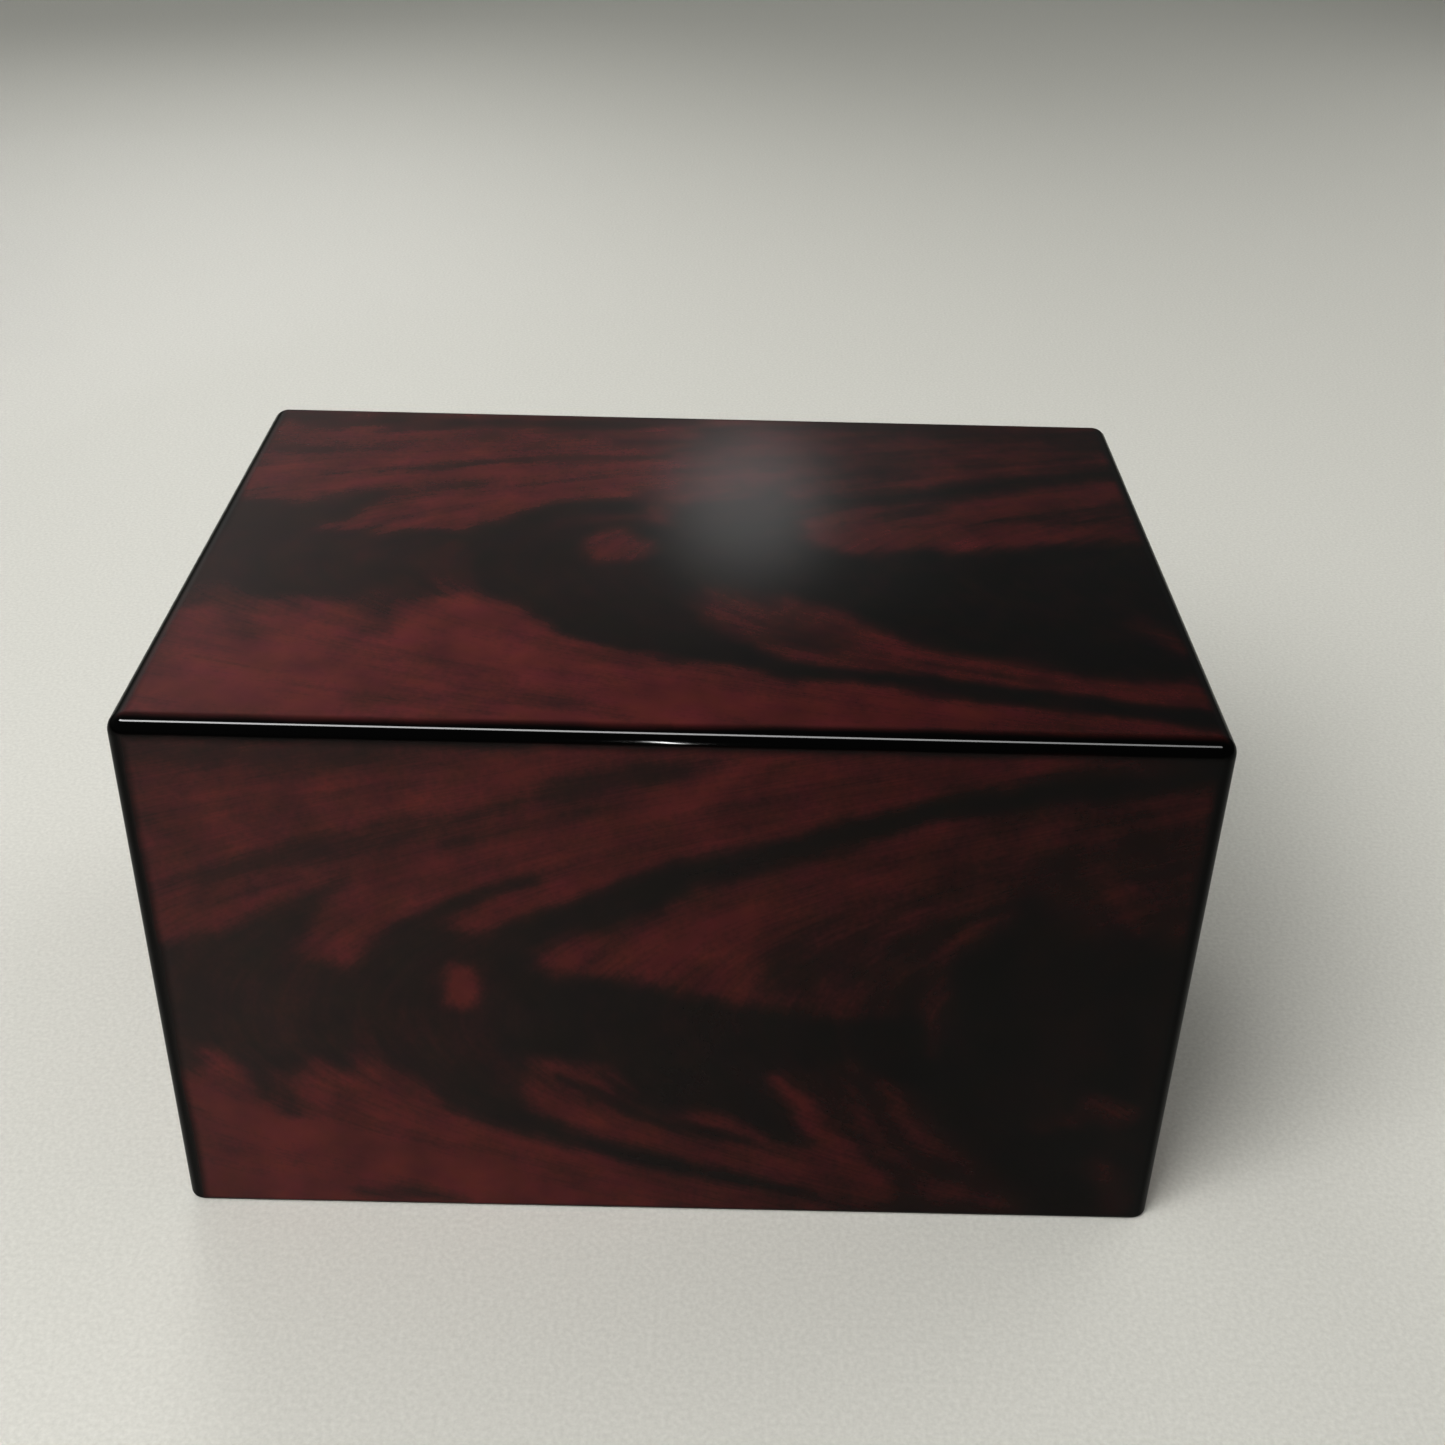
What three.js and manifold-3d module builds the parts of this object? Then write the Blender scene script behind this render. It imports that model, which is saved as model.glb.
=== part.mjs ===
// A wooden cremation urn box: six boards that make a closed, hollow box, opened from below.
// The four walls and the top are mitred to each other at 45 degrees, so that every joint runs
// along the middle of a rounded edge. The base board lies in a rebate cut into the walls' lower
// inside edges, and four countersunk screws hold it. The box stands on the walls' lower rim.
// Units are millimetres. +Z is up, +X is to the right seen from the front, the front looks
// towards -Y, and the origin is the middle of the footprint, on the surface the box stands on.

import * as THREE from "three";
import { mergeVertices } from "three/addons/utils/BufferGeometryUtils.js";
import Module from "manifold-3d";

const wasm = await Module();
wasm.setup();

// Outer size
const boxWidth = 280;
const boxDepth = 200;
const boxHeight = 165;

// Boards and edges
const boardThickness = 15;
const edgeRound = 5;
const footEase = 1;
const roundSteps = 8;

// Gap at each mitre, where the glue is
const glueLine = 0.3;

// Base board and the rebate that it lies in
const baseThickness = 9;
const baseRecess = 1;
const rebateWidth = 9;
const baseClearance = 0.3;

// Countersunk screws that hold the base board
const screwLength = 20;
const screwShankRadius = 1.5;
const screwHeadRadius = 3;
const screwHeadLand = 0.3;
const screwTipLength = 3;
const screwClearance = 0.15;
const screwFromEnd = 22;
const screwSides = 24;
const pilotHoleSpare = 1;

// Cross recess in a screw head
const crossLength = 3.6;
const crossWidth = 0.8;
const crossDepth = 1.1;

// How far a cutting shape reaches past what it cuts
const cutSpare = 2;

// Sizes that follow from those above
const halfWidth = boxWidth / 2;
const halfDepth = boxDepth / 2;
const lipWidth = boardThickness - rebateWidth;
const ledgeHeight = baseRecess + baseThickness;
const baseWidth = boxWidth - 2 * (lipWidth + baseClearance);
const baseDepth = boxDepth - 2 * (lipWidth + baseClearance);
const screwX = baseWidth / 2 - screwFromEnd;
const screwY = halfDepth - lipWidth - rebateWidth / 2;
const mitreInset = glueLine / Math.SQRT2;

// A closed three.js geometry as a manifold-3d solid
function solidOf(geometry) {
  const bare = geometry.clone();
  bare.deleteAttribute("normal");
  bare.deleteAttribute("uv");
  const merged = mergeVertices(bare, 1e-4);
  const corners = merged.index.array;
  const kept = [];
  for (let i = 0; i < corners.length; i += 3) {
    const [a, b, c] = [corners[i], corners[i + 1], corners[i + 2]];
    if (a !== b && b !== c && c !== a) kept.push(a, b, c);
  }
  return new wasm.Manifold(
    new wasm.Mesh({
      numProp: 3,
      vertProperties: merged.attributes.position.array,
      triVerts: new Uint32Array(kept),
    }),
  );
}

// A manifold-3d solid as a three.js geometry with flat faces
function geometryOf(solid) {
  const mesh = solid.getMesh();
  const indexed = new THREE.BufferGeometry();
  indexed.setAttribute("position", new THREE.BufferAttribute(mesh.vertProperties, 3));
  indexed.setIndex(new THREE.BufferAttribute(mesh.triVerts, 1));
  const flat = indexed.toNonIndexed();
  flat.computeVertexNormals();
  return flat;
}

// A closed skin over rings of points that all have the same number of points, from the lowest
// ring to the highest, each counter-clockwise seen from above
function loftOf(rings) {
  const count = rings[0].length;
  const points = rings.flat();
  const triangles = [];
  for (let level = 0; level + 1 < rings.length; level++) {
    for (let i = 0; i < count; i++) {
      const next = (i + 1) % count;
      const [a, b] = [level * count + i, level * count + next];
      const [c, d] = [a + count, b + count];
      triangles.push(a, b, d, a, d, c);
    }
  }
  const lastRing = (rings.length - 1) * count;
  for (let i = 1; i + 1 < count; i++) {
    triangles.push(0, i + 1, i);
    triangles.push(lastRing, lastRing + i, lastRing + i + 1);
  }
  return new THREE.BufferGeometry().setFromPoints(points).setIndex(triangles);
}

// One level of the box's outside: a rectangle with round corners, drawn in by inset
function outlineAt(inset, height) {
  const points = [];
  const radius = edgeRound - inset;
  const centreX = halfWidth - edgeRound;
  const centreY = halfDepth - edgeRound;
  const corners = [
    [centreX, centreY],
    [-centreX, centreY],
    [-centreX, -centreY],
    [centreX, -centreY],
  ];
  corners.forEach(([x, y], quarter) => {
    for (let step = 0; step <= roundSteps; step++) {
      const angle = (quarter + step / roundSteps) * (Math.PI / 2);
      const across = x + radius * Math.cos(angle);
      const along = y + radius * Math.sin(angle);
      points.push(new THREE.Vector3(across, along, height));
    }
  });
  return points;
}

// The whole outside of the box as one solid block, with its top and upright edges rounded and
// its lower edge eased
function outerBlock() {
  const rings = [];
  for (let step = 0; step <= roundSteps; step++) {
    const angle = (1 - step / roundSteps) * (Math.PI / 2);
    rings.push(outlineAt(footEase * (1 - Math.cos(angle)), footEase * (1 - Math.sin(angle))));
  }
  for (let step = 0; step <= roundSteps; step++) {
    const angle = (step / roundSteps) * (Math.PI / 2);
    const height = boxHeight - edgeRound + edgeRound * Math.sin(angle);
    rings.push(outlineAt(edgeRound * (1 - Math.cos(angle)), height));
  }
  return solidOf(loftOf(rings));
}

// The space that one board may fill: its thickness, between the mitre planes on its sides.
// right, up and out are the board's own directions, reach is the distance of its outer face from
// the origin, and low and high are where its outer face starts and ends along up.
function boardSpace({ right, up, out, reach, halfLength, low, high, mitredBelow }) {
  const level = (depth) => {
    const side = halfLength - depth - mitreInset;
    const bottom = mitredBelow ? low + depth + mitreInset : low - cutSpare;
    const top = high - depth - mitreInset;
    const point = (across, along) =>
      new THREE.Vector3()
        .addScaledVector(right, across)
        .addScaledVector(up, along)
        .addScaledVector(out, reach - depth);
    return [point(-side, bottom), point(side, bottom), point(side, top), point(-side, top)];
  };
  return solidOf(loftOf([level(boardThickness), level(-cutSpare)]));
}

// A rectangular cutting or filling block between two corners
function blockBetween(low, high) {
  const size = new THREE.Vector3().subVectors(high, low);
  const middle = new THREE.Vector3().addVectors(low, high).multiplyScalar(0.5);
  const block = new THREE.BoxGeometry(size.x, size.y, size.z);
  return solidOf(block.translate(middle.x, middle.y, middle.z));
}

// A solid turned about the upright axis. profile runs from the axis at the bottom to the axis at
// the top, as [radius, height] pairs.
function turned(profile) {
  const points = profile.map(([radius, height]) => new THREE.Vector2(radius, height));
  return solidOf(new THREE.LatheGeometry(points, screwSides).rotateX(Math.PI / 2));
}

// The outline of a screw that stands on its head, from the axis at the head to the tip. With a
// clearance it is the outline of the hole that the screw goes into, from below its mouth.
function screwProfile(clearance, length) {
  const head = screwHeadRadius + clearance;
  const shank = screwShankRadius + clearance;
  const foot = clearance > 0 ? -cutSpare : 0;
  const coneEnd = screwHeadLand + screwHeadRadius - screwShankRadius;
  return [
    [0, foot],
    [head, foot],
    [head, screwHeadLand],
    [shank, coneEnd],
    [shank, length - screwTipLength],
    [0, length],
  ];
}

const screwPlaces = [
  { name: "base_screw_front_left", x: -screwX, y: -screwY },
  { name: "base_screw_front_right", x: screwX, y: -screwY },
  { name: "base_screw_back_left", x: -screwX, y: screwY },
  { name: "base_screw_back_right", x: screwX, y: screwY },
];

// One long cutting tool for each screw: it opens the base board and the wall above it alike
const screwHole = turned(screwProfile(screwClearance, screwLength + pilotHoleSpare));
const screwHoles = screwPlaces.map(({ x, y }) => screwHole.translate(x, y, baseRecess));

// The rebate is the base board's own place, grown by its clearance and open below
const rebate = blockBetween(
  new THREE.Vector3(lipWidth - halfWidth, lipWidth - halfDepth, -cutSpare),
  new THREE.Vector3(halfWidth - lipWidth, halfDepth - lipWidth, ledgeHeight),
);

const boxOutside = outerBlock();

// A board's right, up and out are chosen so that right turned onto up points out
const upward = new THREE.Vector3(0, 0, 1);
const rightward = new THREE.Vector3(1, 0, 0);
const backward = new THREE.Vector3(0, 1, 0);
const leftward = rightward.clone().negate();
const forward = backward.clone().negate();

const longWall = { reach: halfDepth, halfLength: halfWidth };
const shortWall = { reach: halfWidth, halfLength: halfDepth };
const walls = [
  { name: "front_panel", right: rightward, out: forward, ...longWall },
  { name: "back_panel", right: leftward, out: backward, ...longWall },
  { name: "left_panel", right: forward, out: leftward, ...shortWall },
  { name: "right_panel", right: backward, out: rightward, ...shortWall },
];

function makeWall({ right, out, reach, halfLength }) {
  const space = boardSpace({
    right,
    up: upward,
    out,
    reach,
    halfLength,
    low: 0,
    high: boxHeight,
    mitredBelow: false,
  });
  const board = boxOutside.intersect(space).subtract(rebate);
  return screwHoles.reduce((wall, hole) => wall.subtract(hole), board);
}

function makeTop() {
  const space = boardSpace({
    right: rightward,
    up: backward,
    out: upward,
    reach: boxHeight,
    halfLength: halfWidth,
    low: -halfDepth,
    high: halfDepth,
    mitredBelow: true,
  });
  return boxOutside.intersect(space);
}

function makeBase() {
  const board = blockBetween(
    new THREE.Vector3(-baseWidth / 2, -baseDepth / 2, baseRecess),
    new THREE.Vector3(baseWidth / 2, baseDepth / 2, ledgeHeight),
  );
  return screwHoles.reduce((base, hole) => base.subtract(hole), board);
}

// A screw that stands on its head, with a cross recess in the head
function makeScrew() {
  const screw = turned(screwProfile(0, screwLength));
  const slot = (length, width) =>
    blockBetween(
      new THREE.Vector3(-length / 2, -width / 2, -cutSpare),
      new THREE.Vector3(length / 2, width / 2, crossDepth),
    );
  return screw.subtract(slot(crossLength, crossWidth)).subtract(slot(crossWidth, crossLength));
}

// Materials: dark red and black figured wood under gloss lacquer, black paint, plated steel
const lacqueredWood = new THREE.MeshStandardMaterial({
  color: 0x4a1c1a,
  roughness: 0.12,
  metalness: 0,
});
const paintedBoard = new THREE.MeshStandardMaterial({
  color: 0x1b1817,
  roughness: 0.55,
  metalness: 0,
});
const platedSteel = new THREE.MeshStandardMaterial({
  color: 0xb9b6ad,
  roughness: 0.35,
  metalness: 1,
});

function pieceOf(name, geometry, material) {
  const mesh = new THREE.Mesh(geometry, material);
  mesh.name = name;
  return mesh;
}

const urn = new THREE.Group();
urn.add(pieceOf("top_panel", geometryOf(makeTop()), lacqueredWood));
for (const wall of walls) {
  urn.add(pieceOf(wall.name, geometryOf(makeWall(wall)), lacqueredWood));
}
urn.add(pieceOf("base_panel", geometryOf(makeBase()), paintedBoard));

const screws = new THREE.Group();
screws.position.z = baseRecess;
const screwShape = geometryOf(makeScrew());
for (const { name, x, y } of screwPlaces) {
  const screw = pieceOf(name, screwShape, platedSteel);
  screw.position.set(x, y, 0);
  screws.add(screw);
}
urn.add(screws);

export default urn;
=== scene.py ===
"""A wooden cremation urn box: mitred boards under gloss lacquer, with a dark red and black
rosewood figure on every face and black rounded edges.

The boards and the drawing on their faces are worked out in millimetres. Lamps, camera and floor are
placed in metres. Both use the part's own frame.
"""
import math

import bpy
import numpy as np
from mathutils import Euler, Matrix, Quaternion, Vector


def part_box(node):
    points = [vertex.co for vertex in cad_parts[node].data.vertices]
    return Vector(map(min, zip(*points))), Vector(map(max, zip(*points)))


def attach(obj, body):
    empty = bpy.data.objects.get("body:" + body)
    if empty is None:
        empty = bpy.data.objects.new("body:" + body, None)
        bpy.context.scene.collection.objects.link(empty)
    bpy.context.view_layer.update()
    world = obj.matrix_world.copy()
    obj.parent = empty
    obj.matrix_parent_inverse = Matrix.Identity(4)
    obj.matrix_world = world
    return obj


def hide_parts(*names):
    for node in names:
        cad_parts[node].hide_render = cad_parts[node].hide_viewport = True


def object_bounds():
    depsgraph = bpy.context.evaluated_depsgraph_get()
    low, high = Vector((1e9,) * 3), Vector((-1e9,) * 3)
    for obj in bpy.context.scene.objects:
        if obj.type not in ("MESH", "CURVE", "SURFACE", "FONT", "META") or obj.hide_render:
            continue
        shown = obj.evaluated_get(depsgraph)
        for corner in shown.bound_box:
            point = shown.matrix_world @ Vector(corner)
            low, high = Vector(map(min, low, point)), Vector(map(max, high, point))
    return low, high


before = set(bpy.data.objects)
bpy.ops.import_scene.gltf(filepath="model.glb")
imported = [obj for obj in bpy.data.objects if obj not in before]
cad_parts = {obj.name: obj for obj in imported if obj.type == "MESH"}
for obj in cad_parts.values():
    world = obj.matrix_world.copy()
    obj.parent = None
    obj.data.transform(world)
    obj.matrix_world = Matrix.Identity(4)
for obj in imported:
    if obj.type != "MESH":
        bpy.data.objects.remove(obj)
cad_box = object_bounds()

MM = 0.001
X, Y, UP = Vector((1, 0, 0)), Vector((0, 1, 0)), Vector((0, 0, 1))

# The box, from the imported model, in millimetres
WIDTH, DEPTH, HEIGHT = ((high - low) / MM for low, high in zip(*cad_box))
BOARD = (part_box("top_panel")[1].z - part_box("top_panel")[0].z) / MM
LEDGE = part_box("base_panel")[1].z / MM
LIP = round(WIDTH / 2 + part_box("base_panel")[0].x / MM)

# Edges, in millimetres. FOOT_BAND is the height of the black line along the foot, and TOP_BARE is
# how far the red wood of the top runs into its rounded edges.
EDGE_ROUND = 5
FOOT_EASE = 1
FOOT_BAND = 0.9
TOP_BARE = 0.8

# Size of the mesh cells that carry the figure, in millimetres, and steps in a round
CELL = 1.25
ROUND_STEPS = 8
FOOT_STEPS = 4


# Drawing of the wood figure


def ease(x):
    """A smooth step from 0 to 1."""
    x = np.clip(x, 0, 1)
    return x * x * (3 - 2 * x)


def noise(x, y, seed):
    """Smooth noise from -1 to 1, one lattice cell per unit."""
    cells = 256
    lattice = np.random.default_rng(seed).uniform(-1, 1, (cells, cells))
    left, low = np.floor(x).astype(int), np.floor(y).astype(int)
    across, up = ease(x - left), ease(y - low)
    left, low = left % cells, low % cells
    right, high = (left + 1) % cells, (low + 1) % cells
    near = lattice[left, low] * (1 - across) + lattice[right, low] * across
    far = lattice[left, high] * (1 - across) + lattice[right, high] * across
    return near * (1 - up) + far * up


def flow_slope(figure, b):
    """How far a flow line runs along a for each millimetre along b."""
    return 2 * (b - figure["axis"]) / figure["spread"]


def streaks(figure, a, b, width, length, seed):
    """Noise of the given width, smeared to the given length along the flow lines."""
    steps = 16
    stride = length / steps
    total = noise(a / width, b / width, seed)
    for way in (-1, 1):
        x, y = a.copy(), b.copy()
        for _ in range(steps // 2):
            slope = flow_slope(figure, y)
            turn = np.hypot(1, slope)
            x = x + way * stride * slope / turn
            y = y + way * stride / turn
            total = total + noise(x / width, y / width, seed)
    return total / (steps + 1) ** 0.5


def smooth_line(points, steps=5, closed=False):
    """A Catmull-Rom curve through the points."""
    points = np.array(points, float)
    if closed:
        padded = np.vstack([points[-1], points, points[:2]])
    else:
        padded = np.vstack([2 * points[0] - points[1], points, 2 * points[-1] - points[-2]])
    t = np.linspace(0, 1, steps, endpoint=False)[:, None]
    spans = []
    for a, b, c, d in zip(padded, padded[1:], padded[2:], padded[3:]):
        linear, square = (c - a) / 2, a - 2.5 * b + 2 * c - d / 2
        cube = (d - a) / 2 + 1.5 * (b - c)
        spans.append(b + linear * t + square * t**2 + cube * t**3)
    return np.vstack(spans + [padded[-2:-1]])


def segments(x, y, line):
    """For each piece of a line: its ends, and how far along and away each place is."""
    for start, end in zip(line, line[1:]):
        dx, dy = end[:2] - start[:2]
        share = np.clip(((x - start[0]) * dx + (y - start[1]) * dy) / (dx * dx + dy * dy), 0, 1)
        away = np.hypot(x - start[0] - share * dx, y - start[1] - share * dy)
        yield start, end, share, away


def outside_band(x, y, points):
    """Distance outside a band drawn through (x, y, half width) points, negative inside."""
    nearest = np.full(x.shape, np.inf)
    for start, end, share, away in segments(x, y, smooth_line(points)):
        nearest = np.minimum(nearest, away - start[2] - share * (end[2] - start[2]))
    return nearest


def outside_patch(x, y, points):
    """Distance outside a closed outline through (x, y) points, negative inside."""
    nearest = np.full(x.shape, np.inf)
    inside = np.zeros(x.shape, bool)
    for start, end, _, away in segments(x, y, smooth_line(points, closed=True)):
        nearest = np.minimum(nearest, away)
        if start[1] != end[1]:
            lean = (end[0] - start[0]) / (end[1] - start[1])
            crosses = (start[1] > y) != (end[1] > y)
            inside ^= crosses & (x < start[0] + (y - start[1]) * lean)
    return np.where(inside, -nearest, nearest)


# Each stroke is (shape, darkness, soft edge, points). Darkness 0 is red wood and 1 is black.
# The soft edge is in mm. A band's points are (across, up, half width), a patch's (across, up).
FRONT_FIGURE = {
    "axis": 72,
    "spread": 38,
    "strokes": [
        # painted shade: darker wood over the upper part of the face; brighter red at the lower left
        ("patch", 0.2, 40, [(-200, 104), (-60, 112), (40, 106), (200, 110), (200, 200),
                            (-200, 200)]),
        ("patch", -0.2, 24, [(-200, 44), (-110, 34), (-60, 28), (-24, 14), (-10, -10),
                              (-200, -10)]),
        # darker band along the upper left edge and dim bands in the upper red
        ("band", 0.6, 9, [(-140, 158, 6), (-105, 157.5, 5), (-70, 159, 4), (-35, 161, 1)]),
        ("band", 0.32, 9, [(-140, 132, 2), (-110, 140, 2.5), (-75, 147, 2), (-50, 152, 1)]),
        ("band", 0.3, 9, [(-112, 112, 1), (-96, 117, 2), (-70, 127, 2), (-40, 134, 1)]),
        ("band", 0.32, 7, [(18, 161, 4), (50, 161, 3), (90, 164, 2)]),
        # upper streak
        ("band", 0.62, 7, [(-140, 113, 1.5), (-120, 119, 1.2), (-100, 124, 3), (-80, 131, 2.4),
                           (-60, 138, 1.4), (-44, 142, 2.0), (-30, 148, 3.4), (-12, 153.5, 3.8),
                           (4, 156, 4.2), (16, 157, 1)]),
        # dark mass on the left, with its finger
        ("patch", 0.8, 9, [(-200, 86), (-130, 98), (-110, 106), (-98, 112), (-85, 120), (-87, 113),
                           (-93, 104), (-97, 95), (-92, 90), (-80, 84), (-82, 66), (-90, 52),
                           (-98, 55), (-106, 47), (-114, 42), (-120, 54), (-129, 58), (-134, 50),
                           (-200, 46)]),
        # dark body round the knot, under the wedge of red
        ("patch", 0.82, 8, [(-84, 89), (-78, 98), (-66, 105), (-54, 103), (-46, 98), (-34, 86),
                            (-36, 62), (-38, 48), (-48, 32), (-66, 45), (-78, 55), (-82, 66),
                            (-84, 78)]),
        # thin dark line above the second wedge
        ("band", 0.72, 6, [(-74, 99, 3), (-60, 108, 2.5), (-50, 114, 2), (-36, 120, 0.6)]),
        # central and right-hand dark field
        ("patch", 0.93, 10, [(-46, 98), (-34, 90), (-18, 87), (2, 83), (26, 79), (56, 76),
                            (60, 98), (72, 112), (92, 121), (112, 112), (210, 100), (210, -30),
                            (96, -4), (84, 5), (68, 15), (52, 22), (40, 26), (30, 28),
                            (20, 33), (10, 38), (4, 37), (-5, 39), (-12, 44), (-17, 53),
                            (-30, 59), (-42, 60), (-44, 74)]),
        # main streak that rises to the upper right
        ("band", 0.95, 8, [(-46, 95, 5), (-38, 101, 5.5), (-28, 107, 5.5), (-12, 112, 6.6),
                           (4, 120, 4.6), (20, 127, 4.2), (40, 134, 4), (60, 141, 3.5),
                           (80, 147.5, 4), (100, 151, 4.2), (120, 154, 4.6), (145, 158.5, 4.6),
                           (200, 168, 5)]),
        # lower streak that falls to the right
        ("band", 0.92, 8, [(-56, 46, 7), (-44, 37, 5.5), (-30, 30, 4), (-12, 23, 3.6),
                           (2, 18, 3.4), (18, 13, 3), (34, 9, 2.4), (54, 3, 1.4)]),
        # mottled dark reds between the main streak and the dark field
        ("patch", 0.66, 14, [(25, 92), (30, 104), (40, 111), (54, 117), (70, 121), (80, 118),
                             (70, 98), (64, 78), (46, 76), (30, 80)]),
        ("patch", 0.62, 16, [(66, 118), (84, 130), (104, 137), (150, 147), (200, 156), (200, 100),
                             (118, 106), (90, 116)]),
        ("band", 0.5, 7, [(-84, 58, 2.5), (-84, 68, 1)]),
        ("band", 0.5, 8, [(-96, 92, 1), (-90, 100, 2), (-84, 106, 1)]),
        # knot
        ("band", 0.08, 8, [(-57, 80, 4), (-57, 83, 4.6), (-57, 86, 4)]),
        # red streaks and fingers in the dark field
        ("patch", 0.45, 8, [(40, 79), (42, 87), (51, 89), (52, 78), (46, 77)]),
        ("band", 0.46, 8, [(33, 96, 0.8), (40, 104, 2), (54, 111, 2)]),
        ("band", 0.44, 8, [(54, 94, 1.2), (59, 104, 2.4), (69, 112, 2.6), (86, 119, 1.6)]),
        ("band", 0.44, 9, [(71, 64, 1), (72, 80, 3.4), (74, 98, 3.4), (79, 106, 3),
                           (88, 112, 1)]),
        ("band", 0.4, 8, [(106, 126, 2), (117, 117, 4), (123, 108, 3)]),
        ("band", 0.5, 8, [(-37, 58, 2), (-34, 50, 3), (-24, 42, 4)]),
        ("band", 0.6, 6, [(2, 33, 1), (22, 27, 2), (40, 20, 1)]),
        ("band", 0.7, 6, [(-18, 53, 3), (-12, 46, 3)]),
        ("band", 0.2, 9, [(-32, 46, 2), (-18, 36, 3.5), (-2, 28, 4), (18, 22, 4),
                          (34, 16, 4), (50, 10, 5), (70, 5, 4)]),
        ("band", 0.75, 5, [(-30, 52, 1), (-18, 44, 1.6), (-4, 36, 1.6), (14, 29, 1.2)]),
        ("patch", 0.68, 12, [(26, 52), (36, 57), (50, 57), (60, 53), (70, 44), (84, 30), (97, 14),
                             (102, -10), (60, -10), (46, 16), (34, 34)]),
        ("band", 0.16, 9, [(29, 51, 1.4), (36, 43, 3.2), (43, 31, 4.2), (49, 20, 4.6), (58, 10, 6)]),
        ("band", 0.46, 9, [(49, 54, 1.8), (54, 39, 2.8), (60, 28, 2.8), (72, 16, 3), (90, 6, 2)]),
        ("band", 0.38, 8, [(60, 50, 1.4), (66, 38, 2.6), (73, 29, 2.8), (86, 19, 1.6)]),
        ("band", 0.4, 9, [(72, 11, 2), (92, 5, 4)]),
        ("band", 0.36, 8, [(117, 45, 3), (125, 40, 5)]),
        ("band", 0.5, 7, [(105, 37, 3), (113, 38, 3)]),
        ("band", 0.42, 9, [(123, 20, 4), (130, 9, 6)]),
        # dark lobes in the red at the lower left
        ("band", 0.5, 9, [(-108, 48, 3), (-107, 36, 4)]),
        ("band", 0.4, 9, [(-94, 52, 2), (-93, 42, 2)]),
        ("band", 0.42, 8, [(-90, 5, 2), (-74, 5, 3), (-60, 3, 1)]),
    ],
}

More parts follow.
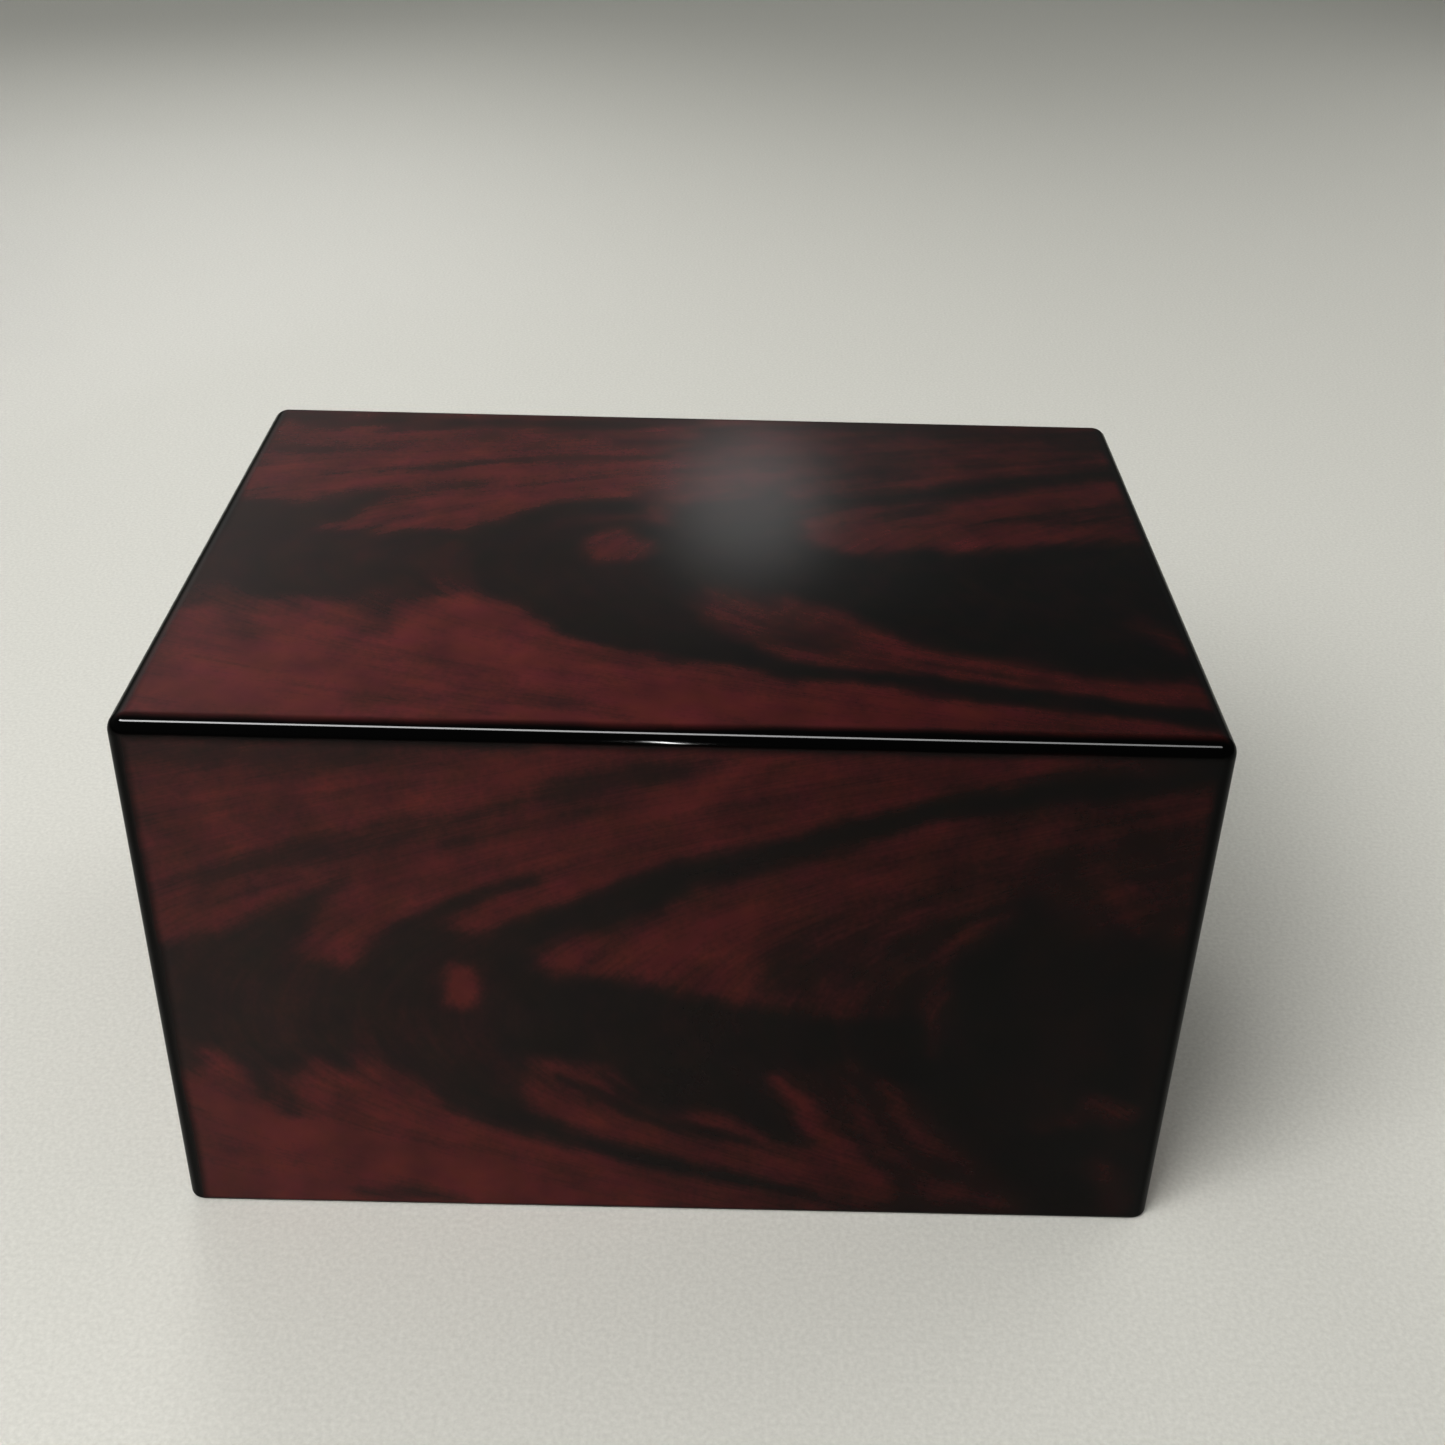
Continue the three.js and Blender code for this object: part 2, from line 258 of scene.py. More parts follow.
TOP_FIGURE = {
    "axis": -12,
    "spread": 34,
    "strokes": [
        # brighter red along the lower left
        ("patch", -0.02, 24, [(-130, -56), (-90, -48), (-60, -40), (-30, -60), (30, -74),
                             (70, -86), (60, -110), (-130, -110)]),
        # dimmer red behind the glow
        ("patch", 0.5, 16, [(-5, 36), (-5, 62), (2, 92), (60, 96), (140, 92), (140, 76), (84, 60),
                            (56, 46), (24, 38)]),
        # darker bands along the back edge
        ("band", 0.66, 14, [(-135, 90, 7), (-95, 89, 7), (-55, 90, 5), (0, 94, 4)]),
        ("band", 0.64, 14, [(40, 96, 3), (85, 89, 7), (135, 84, 9)]),
        # two upper streaks on the left
        ("band", 0.62, 6, [(-112, 46, 1.6), (-95, 49, 2), (-72, 54, 2), (-50, 60, 1.8),
                           (-25, 63, 1.8), (-8, 65, 1.2)]),
        ("band", 0.45, 9, [(-98, 31, 2), (-84, 36, 4), (-64, 42, 3)]),
        # dark mass on the left
        ("patch", 0.8, 10, [(-200, 25), (-125, 27), (-110, 29), (-98, 34), (-90, 33), (-94, 24),
                            (-98, 14), (-98, 6), (-86, 6), (-68, 6), (-60, -16), (-66, -34),
                            (-90, -37), (-104, -35), (-120, -38), (-200, -46)]),
        # dark body round the knot, with its finger
        ("patch", 0.88, 9, [(-80, 6), (-66, 8), (-57, 15), (-48, 23), (-34, 30), (-22, 32),
                            (-6, 31), (14, 33), (30, 36), (24, -60), (10, -60), (-8, -57),
                            (-25, -52), (-37, -45), (-44, -36), (-56, -31), (-62, -20),
                            (-64, -4)]),
        ("band", 0.5, 12, [(-128, -34, 6), (-120, -46, 6), (-112, -54, 3)]),
        ("band", 0.5, 12, [(-84, -36, 7), (-80, -48, 5)]),
        ("band", 0.4, 9, [(-104, 10, 2), (-90, 14, 2), (-78, 22, 3)]),
        # central and right-hand dark field
        ("patch", 0.95, 12, [(-4, 20), (4, 22), (16, 30), (34, 26), (35, 8), (50, -1), (66, 1),
                             (80, 0), (96, 4), (116, 8), (200, 14), (200, -66), (116, -68),
                             (98, -65), (84, -62), (70, -58), (60, -50), (44, -38), (28, -26),
                             (12, -22), (-6, -26), (-20, -34), (-10, -10)]),
        # main streak that rises to the upper right
        ("band", 0.8, 12, [(12, 23, 6), (22, 27, 7), (40, 33, 7), (65, 37.5, 6), (85, 42.5, 5),
                           (105, 51, 5.5), (130, 58, 5), (144, 62, 4.5), (190, 72, 5)]),
        # lower streak that falls to the right
        ("band", 0.93, 7, [(-26, -46, 7), (-8, -54, 6.5), (10, -60, 5.5), (25, -65, 5),
                           (40, -68.5, 4.5), (55, -71, 4.2), (70, -75, 4.4), (85, -79, 4.6),
                           (100, -82.5, 4.6), (115, -85, 4.2), (142, -88, 4), (190, -94, 4)]),
        # knot and the dim red beside it
        ("patch", 0.1, 11, [(-29, 1), (-25, 9), (-18, 11), (-11, 5), (-13, -6), (-20, -9),
                            (-27, -6)]),
        ("band", 0.6, 9, [(-36, 14, 2), (-22, 19, 3), (-8, 23, 2)]),
        ("band", 0.42, 10, [(-12, 36, 5), (-9, 27, 5), (-7, 18, 3)]),
        # reds in and round the dark field
        ("band", 0.58, 10, [(-66, -2, 2), (-66, -18, 4), (-64, -28, 4)]),
        ("band", 0.55, 12, [(38, 25, 4), (52, 25, 6), (66, 26, 6), (78, 30, 3)]),
        ("patch", 0.42, 12, [(4, -26), (6, -40), (14, -50), (28, -57), (44, -62), (60, -60),
                             (52, -50), (40, -42), (30, -32), (18, -26)]),
        ("band", 0.25, 8, [(10, -36, 2), (14, -44, 4), (22, -50, 3)]),
        ("band", 0.3, 7, [(22, -58, 2), (44, -62, 3), (66, -66, 4), (90, -71, 3), (120, -74, 3)]),
        ("band", 0.6, 9, [(126, -40, 3), (136, -52, 5)]),
        ("band", 0.5, 9, [(62, 17, 1), (88, 22, 2), (120, 30, 3)]),
        ("band", 0.45, 14, [(112, 24, 7), (140, 34, 12)]),
        ("band", 0.4, 12, [(-80, -88, 2), (-50, -88, 3), (-20, -86, 1)]),
        ("band", 0.45, 12, [(40, 74, 4), (80, 72, 5), (120, 76, 5)]),
        ("band", 0.42, 12, [(8, 50, 3), (22, 54, 5), (36, 58, 3)]),
        ("band", 0.42, 16, [(-130, 66, 5), (-80, 72, 6), (-20, 78, 6), (50, 82, 6)]),
    ],
}


# Darkness of the wood where no stroke is drawn
PLAIN_WOOD = 0.12


def darkness(figure, a, b, seed):
    """How dark the wood is at (a, b) on a face: about 0 in the red, about 1 in the black."""
    # The strokes are drawn at places moved by a millimetre or two, which makes their rims ragged
    x = a + 1.8 * noise(a / 21, b / 21, seed) + 1.0 * noise(a / 7, b / 7, seed + 1)
    y = b + 1.5 * noise(a / 17, b / 17, seed + 2) + 0.9 * noise(a / 6, b / 6, seed + 3)
    shade = np.full(a.shape, PLAIN_WOOD)
    for shape, target, soft, points in figure["strokes"]:
        outside = outside_band if shape == "band" else outside_patch
        cover = ease(0.5 - outside(x, y, points) / soft)
        shade += (target - shade) * cover
    broad = streaks(figure, a, b, 8, 60, seed + 4)
    fine = streaks(figure, a, b, 3, 26, seed + 5)
    mottle = noise(a / 9, b / 9, seed + 6) + 0.7 * noise(a / 3.2, b / 3.2, seed + 7)
    # The streaks hardly show in the black wood
    calm = 1 - 0.85 * np.clip(shade, 0, 1)
    return shade + (0.13 * broad + 0.14 * fine) * calm + 0.08 * mottle


# Boards

# Finishes of a board's faces: lacquered wood, raw board, and black paint on the rim it stands on
# and in the rebate beside the rim
SKIN, RAW, PAINT = 0, 1, 2


def side_positions(half):
    """Places along one side of a board's outer face, mitre to mitre, in millimetres."""
    flat = half - EDGE_ROUND
    angles = np.linspace(0, math.pi / 4, ROUND_STEPS + 1)
    turned = flat + EDGE_ROUND * np.tan(angles)
    middle = np.linspace(-flat, flat, max(2, round(2 * flat / CELL)) + 1)
    return np.concatenate([-turned[:0:-1], middle, turned[1:]])


def rounded_point(place):
    """The point of the rounded box, and its normal, under a place on the square box round it."""
    inner = Vector((WIDTH / 2, DEPTH / 2, HEIGHT)) - Vector((EDGE_ROUND,) * 3)
    core = Vector((
        max(-inner.x, min(inner.x, place.x)),
        max(-inner.y, min(inner.y, place.y)),
        min(inner.z, place.z),
    ))
    normal = (place - core).normalized()
    return core + EDGE_ROUND * normal, normal


def wall_heights():
    """Heights of the rows of points on a wall's outer face, from the foot to the upper mitre."""
    lower = np.linspace(FOOT_EASE, HEIGHT / 2, round((HEIGHT / 2 - FOOT_EASE) / CELL) + 1)
    upper = HEIGHT / 2 + side_positions(HEIGHT / 2)
    return np.concatenate([lower, upper[upper > HEIGHT / 2 + CELL / 2]])


def foot_row(columns, face_point, step):
    """Points and normals of one row in the eased foot of a wall."""
    turn = step / FOOT_STEPS * math.pi / 2
    row = []
    for u in columns:
        point, normal = face_point(u, FOOT_EASE)
        point = point - normal * FOOT_EASE * (1 - math.cos(turn))
        point.z = FOOT_EASE * (1 - math.sin(turn))
        row.append((point, normal * math.cos(turn) - UP * math.sin(turn)))
    return row


def make_wall(name, right, out, reach, half, shift, seed):
    """A wall with its rounded outer face, foot, rebate, inner face and mitres, as one solid."""
    columns = side_positions(half)
    points, normals, rows = [], [], []

    def face_point(u, height):
        return rounded_point(right * u + out * reach + UP * height)

    def add_row(row):
        rows.append(range(len(points), len(points) + len(row)))
        for point, normal in row:
            points.append(point * MM)
            normals.append(normal)

    for height in wall_heights()[::-1]:
        add_row([face_point(u, height) for u in columns])
    for step in range(1, FOOT_STEPS + 1):
        add_row(foot_row(columns, face_point, step))
    skin_rows = len(rows)
    inner = [(LIP, 0, -UP), (LIP, LEDGE, -UP), (BOARD, LEDGE, -out), (BOARD, HEIGHT - BOARD, -out)]
    for depth, height, normal in inner:
        scale = (half - depth) / half
        back = out * (reach - depth) + UP * height
        add_row([(right * u * scale + back, normal) for u in columns])

    def past_flat(a, b):
        """How far a place is past the flat of the face, into the black edges."""
        upper = np.maximum(np.abs(a) - (half - EDGE_ROUND), b - (HEIGHT - EDGE_ROUND))
        return np.maximum(upper, 2 * (FOOT_BAND - b))

    # One finish for each strip of faces between two rows: the outside, the rim and the rebate's
    # side, then what lies inside
    strips = [SKIN] * (skin_rows - 1) + [PAINT] * 2 + [RAW] * (len(rows) - skin_rows - 1)
    faces, finish = [], []
    for j, strip_finish in enumerate(strips):
        here, below = rows[j], rows[(j + 1) % len(rows)]
        for i in range(len(columns) - 1):
            faces.append((here[i], below[i], below[i + 1], here[i + 1]))
            finish.append(strip_finish)
    faces.append([row[0] for row in rows][::-1])
    faces.append([row[-1] for row in rows])
    finish += [RAW, RAW]
    mesh = board_mesh(name, points, normals, faces, finish)
    carry_figure(mesh, right, UP, past_flat, FRONT_FIGURE, shift, seed)
    return placed(name, mesh)


def make_top(name, seed):
    """The top board, with its rounded outer face, inner face and mitres, as one solid."""
    across, along = side_positions(WIDTH / 2), side_positions(DEPTH / 2)
    points, normals = [], []
    for y in along:
        for x in across:
            point, normal = rounded_point(Vector((x, y, HEIGHT)))
            points.append(point * MM)
            normals.append(normal)
    n, m = len(across), len(along)

    def at(i, j):
        return j * n + i

    def past_flat(a, b):
        """How far a place is past the flat of the face, into the black edges."""
        ends, sides = np.abs(a) - (WIDTH / 2 - EDGE_ROUND), np.abs(b) - (DEPTH / 2 - EDGE_ROUND)
        return np.maximum(ends, sides) - TOP_BARE

    faces = [
        (at(i, j), at(i + 1, j), at(i + 1, j + 1), at(i, j + 1))
        for j in range(m - 1)
        for i in range(n - 1)
    ]
    finish = [SKIN] * len(faces)
    half_x, half_y = WIDTH / 2 - BOARD, DEPTH / 2 - BOARD
    corners = []
    for x, y in ((-half_x, -half_y), (half_x, -half_y), (half_x, half_y), (-half_x, half_y)):
        corners.append(len(points))
        points.append(Vector((x, y, HEIGHT - BOARD)) * MM)
        normals.append(-UP)
    faces.append(corners[::-1])
    sides = [
        [at(i, 0) for i in range(n)],
        [at(n - 1, j) for j in range(m)],
        [at(i, m - 1) for i in range(n)][::-1],
        [at(0, j) for j in range(m)][::-1],
    ]
    for k, side in enumerate(sides):
        faces.append([corners[k], corners[(k + 1) % 4]] + side[::-1])
    finish += [RAW] * 5
    mesh = board_mesh(name, points, normals, faces, finish)
    carry_figure(mesh, X, Y, past_flat, TOP_FIGURE, (0, 0), seed)
    return placed(name, mesh)


def board_mesh(name, points, normals, faces, finish):
    """A mesh with smooth normals on its lacquered skin and flat ones elsewhere."""
    mesh = bpy.data.meshes.new(name)
    mesh.from_pydata([tuple(p) for p in points], [], [tuple(f) for f in faces])
    mesh.update()
    for material in (wood, fibreboard, black):
        mesh.materials.append(material)
    mesh.polygons.foreach_set("material_index", finish)
    mesh.polygons.foreach_set("use_smooth", [True] * len(faces))
    loop_normals = np.zeros((len(mesh.loops), 3))
    for face in mesh.polygons:
        flat = tuple(face.normal)
        for corner in face.loop_indices:
            vertex = mesh.loops[corner].vertex_index
            on_skin = face.material_index == SKIN
            loop_normals[corner] = tuple(normals[vertex]) if on_skin else flat
    mesh.normals_split_custom_set([tuple(v) for v in loop_normals])
    return mesh


def carry_figure(mesh, right, up, past_flat, figure, shift, seed):
    """Gives each point of a board the numbers that its material reads.

    edge is how far the point is past the flat, in mm. fade is 1 at the -X end and 0 at the +X end,
    and 0.5 all over a short wall; the material paints light falloff and a milky reflection by it.
    figure is the darkness of the wood. grain is (flow line, across, up), with which the noise of the
    grain follows the figure.
    """
    place = np.array([tuple(vertex.co) for vertex in mesh.vertices]) / MM
    a = place @ np.array(right)
    b = place @ np.array(up)
    add_numbers(mesh, "edge", past_flat(a, b))
    # Where light falloff and a milky reflection are painted: 1 at the -X end, 0 at the +X end
    add_numbers(mesh, "painted_light_falloff", 0.5 - a * right.x / WIDTH)
    a, b = a + shift[0], b + shift[1]
    add_numbers(mesh, "figure", darkness(figure, a, b, seed))
    flow = a - (b - figure["axis"]) ** 2 / figure["spread"]
    layer = mesh.attributes.new("grain", "FLOAT_VECTOR", "POINT")
    layer.data.foreach_set("vector", np.stack([flow, a, b], axis=1).ravel())


def placed(name, mesh):
    """The mesh as an object in the scene."""
    board = bpy.data.objects.new(name, mesh)
    bpy.context.scene.collection.objects.link(board)
    return board


def add_numbers(mesh, name, values):
    layer = mesh.attributes.new(name, "FLOAT", "POINT")
    layer.data.foreach_set("value", np.asarray(values, np.float32))


# Materials


def new_material(name):
    material = bpy.data.materials.new(name)
    material.use_nodes = True
    return material, material.node_tree, material.node_tree.nodes["Principled BSDF"]


def put(tree, kind, inputs=None, **settings):
    """Adds a node. An input is a number, a colour or another node's output."""
    node = tree.nodes.new("ShaderNode" + kind)
    for key, value in settings.items():
        setattr(node, key, value)
    for key, value in (inputs or {}).items():
        if isinstance(value, bpy.types.NodeSocket):
            tree.links.new(value, node.inputs[key])
        else:
            node.inputs[key].default_value = value
    return node


def maths(tree, operation, first, second):
    return put(tree, "Math", {0: first, 1: second}, operation=operation).outputs[0]


def scaled(tree, vector, scale):
    node = put(tree, "VectorMath", {0: vector, 1: scale}, operation="MULTIPLY")
    return node.outputs["Vector"]


def noise_node(tree, vector, detail, roughness):
    inputs = {"Vector": vector, "Scale": 1.0, "Detail": detail, "Roughness": roughness}
    return put(tree, "TexNoise", inputs).outputs["Fac"]


def ramp(tree, value, stops):
    node = put(tree, "ValToRGB", {"Fac": value})
    elements = node.color_ramp.elements
    elements[0].position, elements[1].position = stops[0][0], stops[-1][0]
    elements[0].color, elements[1].color = (*stops[0][1], 1), (*stops[-1][1], 1)
    for position, colour in stops[1:-1]:
        elements.new(position).color = (*colour, 1)
    return node.outputs["Color"]


def mixed(tree, factor, first, second, blend="MIX"):
    node = tree.nodes.new("ShaderNodeMix")
    node.data_type, node.blend_type = "RGBA", blend
    for socket, value in zip((node.inputs[0], node.inputs[6], node.inputs[7]),
                             (factor, first, second)):
        if isinstance(value, bpy.types.NodeSocket):
            tree.links.new(value, socket)
        elif isinstance(value, (int, float)):
            socket.default_value = value
        else:
            socket.default_value = (*value, 1)
    return node.outputs[2]


def wood_shade(tree, figure, grain):
    """The darkness of the figure with fine grain lines and specks."""
    lines = noise_node(tree, scaled(tree, grain, (0.5, 0.05, 0.05)), 4.0, 0.6)
    specks = noise_node(tree, scaled(tree, grain, (0.0, 0.6, 0.6)), 3.0, 0.6)
    uneven = maths(tree, "ADD", maths(tree, "MULTIPLY", lines, 0.8),
                   maths(tree, "MULTIPLY", specks, 0.7))
    uneven = maths(tree, "SUBTRACT", uneven, 0.75)
    calm = maths(tree, "SUBTRACT", 1.0, maths(tree, "MULTIPLY", figure, 0.75))
    uneven = maths(tree, "MULTIPLY", uneven, calm)
    return maths(tree, "ADD", figure, uneven)


def wood_colour(tree, shade, grain):
    """Red to black by darkness, with cloudy changes of tint and brightness."""
    clouds = noise_node(tree, scaled(tree, grain, (0.0, 0.06, 0.06)), 3.0, 0.5)
    tints = noise_node(tree, scaled(tree, grain, (0.03, 0.1, 0.1)), 3.0, 0.5)
    colour = ramp(tree, shade, [
        (0.0, (0.08, 0.0125, 0.012)),
        (0.3, (0.052, 0.0094, 0.0089)),
        (0.55, (0.0245, 0.0058, 0.0052)),
        (0.8, (0.0112, 0.0044, 0.0038)),
        (1.0, (0.005, 0.0036, 0.0031)),
    ])
    tint = ramp(tree, tints, [(0.3, (0.97, 0.87, 1.15)), (0.7, (1.03, 1.15, 0.88))])
    colour = mixed(tree, 1.0, colour, tint, "MULTIPLY")
    bright = ramp(tree, clouds, [(0.3, (0.75,) * 3), (0.7, (1.25,) * 3)])
    return mixed(tree, 1.0, colour, bright, "MULTIPLY")


def painted_falloff_and_reflection(tree, colour, painted_light_falloff):
    """Painted light falloff and reflection: the top and the long walls are painted dimmer towards +X
    and get a painted milky reflection towards -X.
    """
    # Painted light falloff: the wood is painted dimmer towards +X
    level = ramp(tree, painted_light_falloff, [(0.0, (0.66,) * 3), (0.5, (1.02,) * 3), (0.88, (1.16,) * 3),
                              (1.0, (0.92,) * 3)])
    colour = mixed(tree, 1.0, colour, level, "MULTIPLY")
    # Painted reflection: a milky grey is added towards -X
    painted_reflection = ramp(tree, painted_light_falloff, [(0.3, (0.0,) * 3), (0.95, (0.0215, 0.0155, 0.0145))])
    return mixed(tree, 1.0, colour, painted_reflection, "ADD")


def black_edges(tree, colour, edge, grain):
    """Black sprayed over the rounded edges, with a soft and slightly ragged border."""
    ragged = noise_node(tree, scaled(tree, grain, (0.0, 0.025, 0.025)), 2.0, 0.5)
    ragged = maths(tree, "MULTIPLY", maths(tree, "SUBTRACT", ragged, 0.5), 2.4)
    paint = put(tree, "MapRange", {"Value": maths(tree, "ADD", edge, ragged),
                                   "From Min": -1.8, "From Max": 1.8},
                interpolation_type="SMOOTHSTEP")
    return mixed(tree, paint.outputs["Result"], colour, (0.0012, 0.0012, 0.0012))


def lacquered_wood():
    """Figured wood with black edges, under a clear coat."""
    material, tree, shader = new_material("lacquered_wood")
    figure = put(tree, "Attribute", attribute_name="figure").outputs["Fac"]
    edge = put(tree, "Attribute", attribute_name="edge").outputs["Fac"]
    grain = put(tree, "Attribute", attribute_name="grain").outputs["Vector"]
    painted_light_falloff = put(tree, "Attribute", attribute_name="painted_light_falloff").outputs["Fac"]
    colour = wood_colour(tree, wood_shade(tree, figure, grain), grain)
    # Painted light: dimmer towards +X, with a painted milky reflection towards -X
    colour = painted_falloff_and_reflection(tree, colour, painted_light_falloff)
    colour = black_edges(tree, colour, edge, grain)
    gloss = put(tree, "MapRange", {"Value": edge, "From Min": 0.5, "From Max": 2.0,
                                   "To Min": 1.0, "To Max": 0.55})
    tree.links.new(gloss.outputs["Result"], shader.inputs["Coat Weight"])
    tree.links.new(colour, shader.inputs["Base Color"])
    shader.inputs["Roughness"].default_value = 0.3
    shader.inputs["Specular IOR Level"].default_value = 0.0
    shader.inputs["Coat Roughness"].default_value = 0.06
    shader.inputs["Coat IOR"].default_value = 1.35
    return material


def flat_black():
    """Flat black paint on board."""
    material, tree, shader = new_material("painted_board")
    place = put(tree, "TexCoord").outputs["Object"]
    mottle = noise_node(tree, scaled(tree, place, (600, 600, 600)), 4.0, 0.6)
    colour = ramp(tree, mottle, [(0.3, (0.008,) * 3), (0.7, (0.014, 0.013, 0.012))])
    tree.links.new(colour, shader.inputs["Base Color"])
    shader.inputs["Roughness"].default_value = 0.55
    return material


def raw_fibreboard():
    """Bare cut fibreboard, on the faces that no one sees."""
    material, tree, shader = new_material("fibreboard")
    place = put(tree, "TexCoord").outputs["Object"]
    fibres = noise_node(tree, scaled(tree, place, (900, 900, 900)), 4.0, 0.6)
    colour = ramp(tree, fibres, [(0.3, (0.22, 0.13, 0.07)), (0.7, (0.3, 0.19, 0.11))])
    tree.links.new(colour, shader.inputs["Base Color"])
    shader.inputs["Roughness"].default_value = 0.85
    return material


def plated_steel():
    """Dull zinc plate."""
    material, tree, shader = new_material("screw_steel")
    place = put(tree, "TexCoord").outputs["Object"]
    wear = noise_node(tree, scaled(tree, place, (1500, 1500, 1500)), 3.0, 0.6)
    colour = ramp(tree, wear, [(0.3, (0.55, 0.53, 0.48)), (0.7, (0.68, 0.67, 0.63))])
    tree.links.new(colour, shader.inputs["Base Color"])
    shader.inputs["Metallic"].default_value = 1.0
    shader.inputs["Roughness"].default_value = 0.35
    return material


wood = lacquered_wood()
fibreboard = raw_fibreboard()
black = flat_black()
steel = plated_steel()

# The other walls carry the front's figure too, moved aside and with other noise
boards = {
    "top_panel": make_top("top_board", 11),
    "front_panel": make_wall("front_board", X, -Y, DEPTH / 2, WIDTH / 2, (0, 0), 3),
    "back_panel": make_wall("back_board", -X, Y, DEPTH / 2, WIDTH / 2, (20, -8), 5),
    "left_panel": make_wall("left_board", -Y, -X, WIDTH / 2, DEPTH / 2, (-30, 4), 7),
    "right_panel": make_wall("right_board", Y, X, WIDTH / 2, DEPTH / 2, (30, 4), 9),
}
for node, board in boards.items():
    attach(board, "root")
    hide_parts(node)
for node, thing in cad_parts.items():
    if node not in boards:
        thing.data.materials.clear()
        thing.data.materials.append(black if node == "base_panel" else steel)

# Floor, lights and camera

FLOOR_SIZE = 40.0
HORIZON_LIGHT = 0.17
HORIZON_TINT = (0.8, 0.8, 0.735)


def floor_finish():
    """Pale matt card with a faint, fine tooth."""
    material, tree, shader = new_material("floor")
    place = put(tree, "TexCoord").outputs["Object"]
    tooth = noise_node(tree, scaled(tree, place, (700, 700, 700)), 2.0, 0.6)
    colour = ramp(tree, tooth, [(0.3, (0.585, 0.575, 0.537)), (0.7, (0.655, 0.645, 0.603))])
    tree.links.new(colour, shader.inputs["Base Color"])
    shader.inputs["Roughness"].default_value = 0.6
    shader.inputs["Specular IOR Level"].default_value = 0.2
    return material


def make_floor():
    mesh = bpy.data.meshes.new("floor")
    s = FLOOR_SIZE / 2
    mesh.from_pydata([(-s, -s, 0), (s, -s, 0), (s, s, 0), (-s, s, 0)], [], [(0, 1, 2, 3)])
    floor = bpy.data.objects.new("floor", mesh)
    bpy.context.scene.collection.objects.link(floor)
    mesh.materials.append(floor_finish())


def fade_along(light, first, last):
    """Makes a lamp's brightness change evenly from its -X end to its +X end."""
    light.use_nodes = True
    tree = light.node_tree
    along = put(tree, "SeparateXYZ", {0: put(tree, "NewGeometry").outputs["Parametric"]})
    level = put(tree, "MapRange", {"Value": along.outputs["X"], "To Min": first, "To Max": last})
    tree.links.new(level.outputs["Result"], tree.nodes["Emission"].inputs["Strength"])


def fade_out(light):
    """Makes a lamp bright in its middle and dark at its rim."""
    light.use_nodes = True
    tree = light.node_tree
    across = put(tree, "NewGeometry").outputs["Parametric"]
    middle = put(tree, "VectorMath", {0: across, 1: (0.5, 0.5, 0)}, operation="DISTANCE")
    glow = put(tree, "MapRange", {"Value": middle.outputs["Value"], "From Min": 0.5,
                                  "From Max": 0.0}, interpolation_type="SMOOTHERSTEP")
    tree.links.new(glow.outputs["Result"], tree.nodes["Emission"].inputs["Strength"])


def add_light(name, place, target, size, power, soft=False, lean=0):
    """A rectangular lamp aimed at the target, turned about its own aim by lean degrees."""
    light = bpy.data.lights.new(name, "AREA")
    light.shape = "RECTANGLE"
    light.size, light.size_y = size
    light.energy = power
    if soft:
        fade_out(light)
    lamp = bpy.data.objects.new(name, light)
    lamp.location = place
    aim = (Vector(target) - Vector(place)).to_track_quat("-Z", "Y")
    lean_turn = Quaternion(UP, math.radians(lean))
    lamp.rotation_euler = (aim @ lean_turn).to_euler()
    lamp.visible_camera = False
    bpy.context.scene.collection.objects.link(lamp)
    return lamp


def make_camera():
    """The photograph's view: fitted to the six outer edges of the box that it shows."""
    frame_px, focal_px, axis_row_px = 1445, 1819, 700
    camera = bpy.data.cameras.new("camera")
    camera.sensor_width = 36
    camera.lens = focal_px / frame_px * camera.sensor_width
    camera.shift_y = (axis_row_px - frame_px / 2) / frame_px
    eye = bpy.data.objects.new("camera", camera)
    eye.location = (0.0102, -0.4740, 0.4056)
    eye.rotation_euler = Euler([math.radians(angle) for angle in (58.34, -1.21, 0.46)])
    bpy.context.scene.collection.objects.link(eye)
    bpy.context.scene.camera = eye


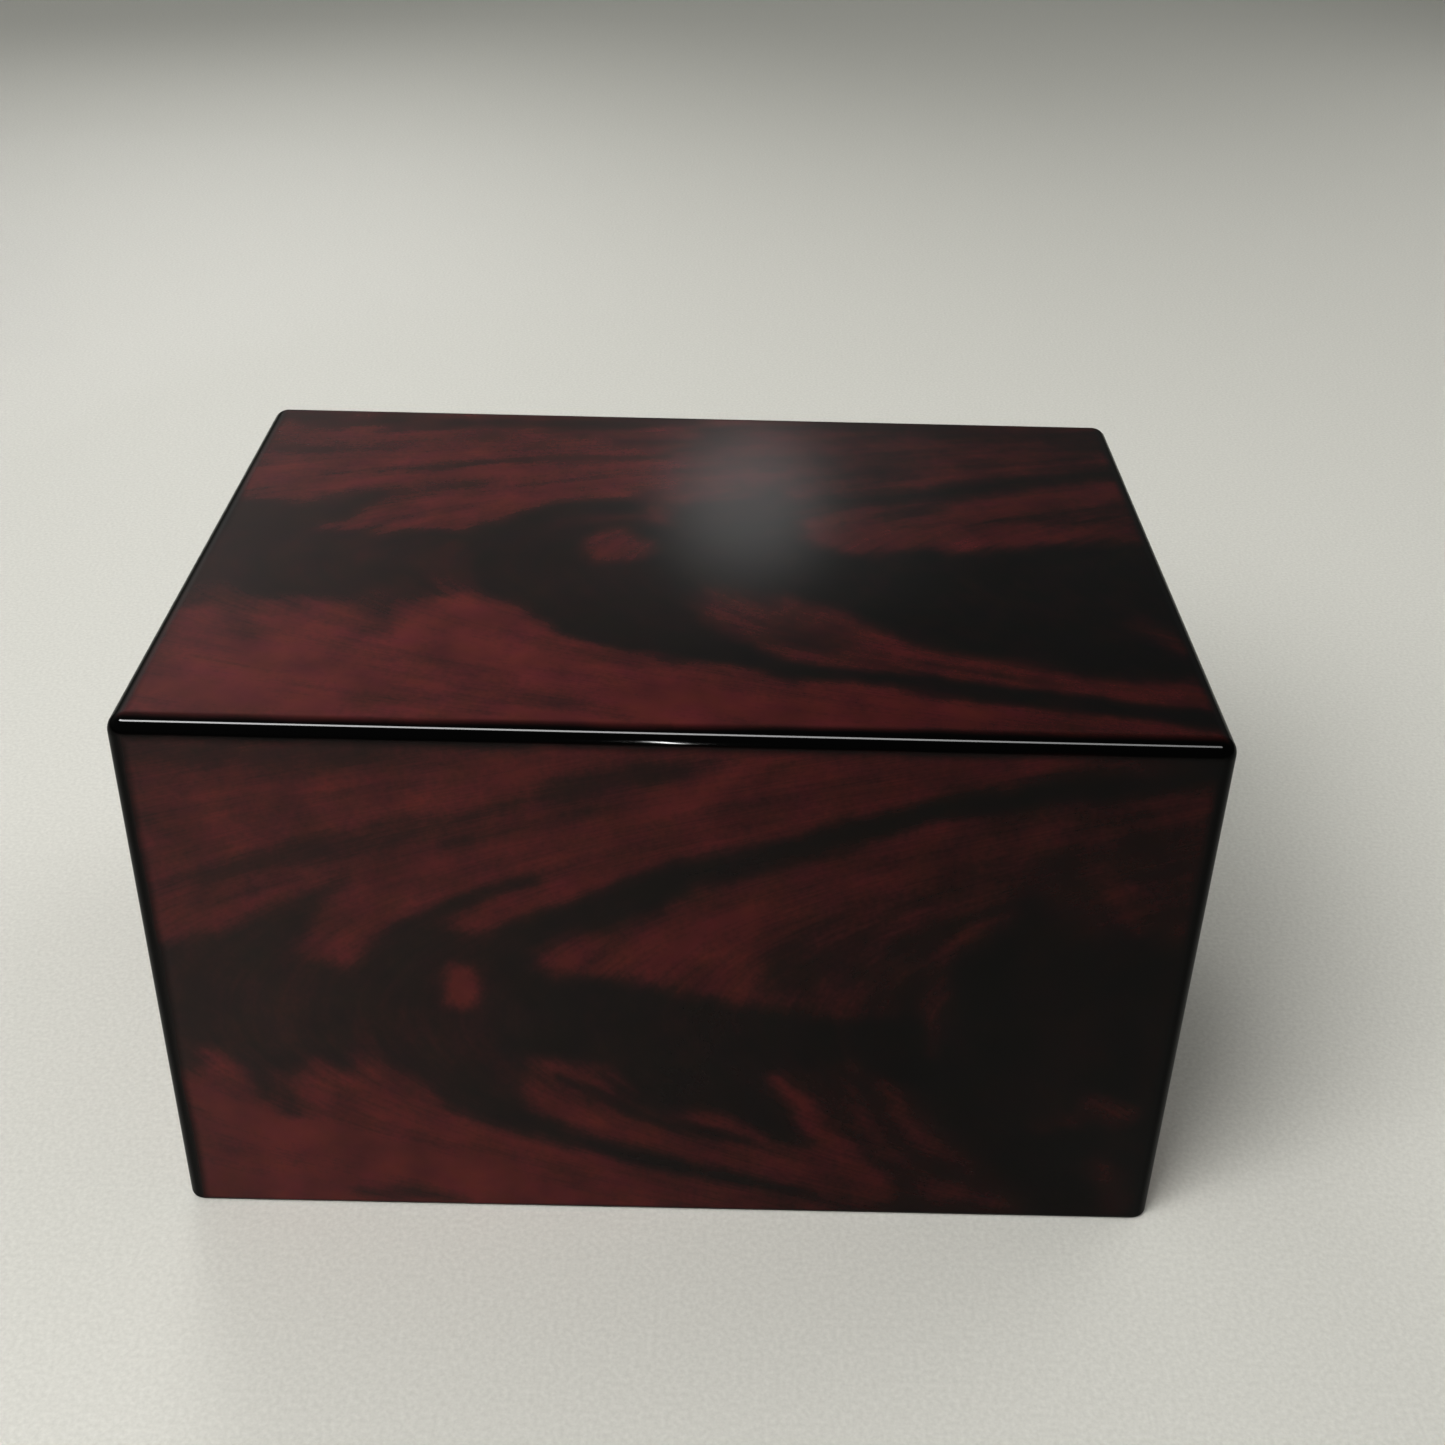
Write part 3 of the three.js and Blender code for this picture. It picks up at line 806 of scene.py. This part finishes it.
def make_world():
    """Even studio light: stronger on the left than on the right, and as dim as the far floor
    at the horizon, so that floor and surroundings run into each other."""
    world = bpy.data.worlds.new("studio")
    world.use_nodes = True
    tree = world.node_tree
    towards = put(tree, "SeparateXYZ", {0: put(tree, "TexCoord").outputs["Generated"]})
    level = put(tree, "MapRange", {"Value": towards.outputs["X"], "From Min": -0.4,
                                   "From Max": 0.4, "To Min": 0.38, "To Max": 0.19})
    rise = put(tree, "MapRange", {"Value": towards.outputs["Z"], "From Max": 0.35},
               interpolation_type="SMOOTHSTEP")
    strength = put(tree, "Mix", {"Factor": rise.outputs["Result"], "A": HORIZON_LIGHT,
                                 "B": level.outputs["Result"]})
    tint = mixed(tree, rise.outputs["Result"], HORIZON_TINT, (0.8, 0.82, 0.8))
    background = tree.nodes["Background"]
    tree.links.new(tint, background.inputs["Color"])
    tree.links.new(strength.outputs["Result"], background.inputs["Strength"])
    bpy.context.scene.world = world


make_floor()
make_camera()

# Lamps that light the surfaces and aren't seen in the lacquer
key = add_light("key", (-0.8, -0.95, 1.45), (0, 0, 0.05), (1.1, 1.1), 22.7)
fill = add_light("fill", (0.85, 0.5, 1.2), (0.2, 0, 0), (1.2, 1.2), 2.3)
side = add_light("side", (1.3, 0.9, 0.6), (0, 0, 0.06), (0.9, 0.9), 2.8)
rear = add_light("rear", (-0.7, 1.9, 0.6), (0, 0.1, 0.1), (0.8, 0.5), 1.4)
rear.data.spread = math.radians(55)

# Lamps that are only seen in the lacquer: the bright line along the upper front edge, its hook in
# the middle, and the soft glow on the top
strip = add_light("strip", (-0.3, -0.75, 2.0), (-0.3, -0.1, 0.165), (2.6, 0.34), 85, lean=-18)
fade_along(strip.data, 1.45, 0.35)
slit = add_light("slit", (-0.044, -1.62, 0.6), (0, -0.1, 0.165), (0.03, 0.56), 7.5, soft=True,
                 lean=5.3)
glow = add_light("glow", (0.037, 1.13, 0.69), (0.02, 0.04, 0.165), (0.27, 0.26), 0.13, soft=True)
haze = add_light("haze", (0.05, 1.13, 0.68), (0.0, 0.04, 0.165), (0.56, 0.44), 0.135, soft=True)
wash = add_light("wash", (-0.85, 1.2, 0.84), (0, 0, 0.165), (1.5, 1.3), 1.15, soft=True)
for lamp in (key, fill, side, rear):
    lamp.visible_glossy = False
for lamp in (strip, slit, glow, haze, wash):
    lamp.visible_diffuse = False

make_world()
bpy.context.scene.view_settings.view_transform = "Standard"
bpy.context.scene.view_settings.look = "High Contrast"
